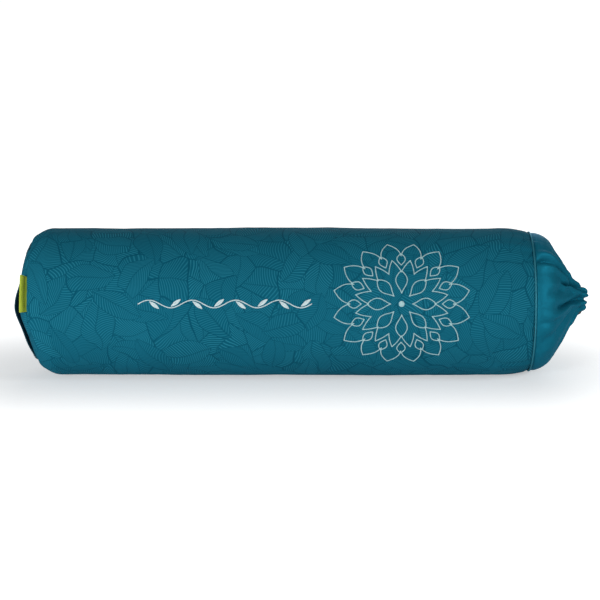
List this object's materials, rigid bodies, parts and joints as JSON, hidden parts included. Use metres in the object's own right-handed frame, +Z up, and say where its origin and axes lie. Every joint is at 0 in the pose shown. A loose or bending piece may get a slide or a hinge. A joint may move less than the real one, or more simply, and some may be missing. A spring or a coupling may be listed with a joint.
{
  "type": "bolster pillow",
  "caption": "Round cylindrical bolster: fibre-filled zipped insert in a fabric cover with a domed end, carry strap, woven label and a drawcord-gathered mouth with a cord lock.",
  "frame": {"origin": "centre of the flat resting strip under the roll, at the middle of the patterned body's length", "axes": "+X along the roll towards the gathered mouth, -Y the embroidered front, +Z up from the resting face"},
  "size_m": [0.7818, 0.2015, 0.1979],
  "materials": {
    "printed_fabric": "matt teal polyester-cotton weave with a fine tone-on-tone hatched leaf print",
    "plain_fabric": "plain teal weave of the same cloth, slightly satin",
    "cord": "braided cord, matt",
    "lock_plastic": "moulded dark grey plastic, fine grain",
    "steel": "plated steel",
    "strap_webbing": "dark woven webbing",
    "thread_dark": "sewing thread",
    "label_ribbon": "woven lime satin ribbon, blank",
    "thread_light": "pale embroidery thread with a soft sheen",
    "ticking": "undyed cotton twill",
    "filling": "loose hollow polyester fibre",
    "zip_tape": "woven zip tape",
    "zip_plastic": "moulded zip teeth"
  },
  "bodies": {
    "roll": {"cover_body": "printed_fabric", "cover_end_panel": "printed_fabric", "cover_sleeve": "plain_fabric", "sleeve_piping": "plain_fabric", "drawcord_casing": "plain_fabric", "drawcord": "cord", "flower_embroidery": "thread_light", "vine_embroidery": "thread_light", "insert_tube": "ticking", "insert_closed_end": "ticking", "insert_zip_end": "ticking", "fibre_filling": "filling", "zip_tapes": "zip_tape", "zip_teeth": "zip_plastic", "zip_stops": "steel"},
    "handle": {"handle_strap": "strap_webbing", "handle_bartacks": "thread_dark"},
    "label": {"label_tab": "label_ribbon", "label_stitches": "thread_dark"},
    "cord_lock": {"cord_lock_body": "lock_plastic", "cord_lock_spring": "steel"},
    "lock_button": {"cord_lock_button": "lock_plastic"},
    "zip_slider_body": {"zip_slider": "steel"},
    "zip_pull_body": {"zip_pull": "steel"}
  },
  "joints": [
    {"name": "handle_pull", "type": "slide", "parent": "roll", "child": "handle", "axis": [-1, 0, 0], "range_m": [0, 0.02]},
    {"name": "label_fold", "type": "hinge", "parent": "roll", "child": "label", "pos_m": [-0.32878, -0.07603, 0.12872], "axis": [0, 0.3746, 0.9272], "range_deg": [-40, 40]},
    {"name": "cord_lock_slide", "type": "slide", "parent": "roll", "child": "cord_lock", "axis": [-0.5446, 0.7405, -0.3937], "range_m": [-0.012, 0.054]},
    {"name": "lock_button_press", "type": "slide", "parent": "cord_lock", "child": "lock_button", "axis": [-0.8387, -0.4809, 0.2557], "range_m": [0, 0.0022], "stiffness_N_per_m": 300, "springref_m": -0.002, "deforming": ["cord_lock_spring"]},
    {"name": "zip_slide", "type": "slide", "parent": "roll", "child": "zip_slider_body", "axis": [0, 1, 0], "range_m": [0, 0.096]},
    {"name": "zip_pull_flip", "type": "hinge", "parent": "zip_slider_body", "child": "zip_pull_body", "pos_m": [0.37659, -0.048, 0.098], "axis": [0, 0, -1], "range_deg": [0, 170]}
  ]
}
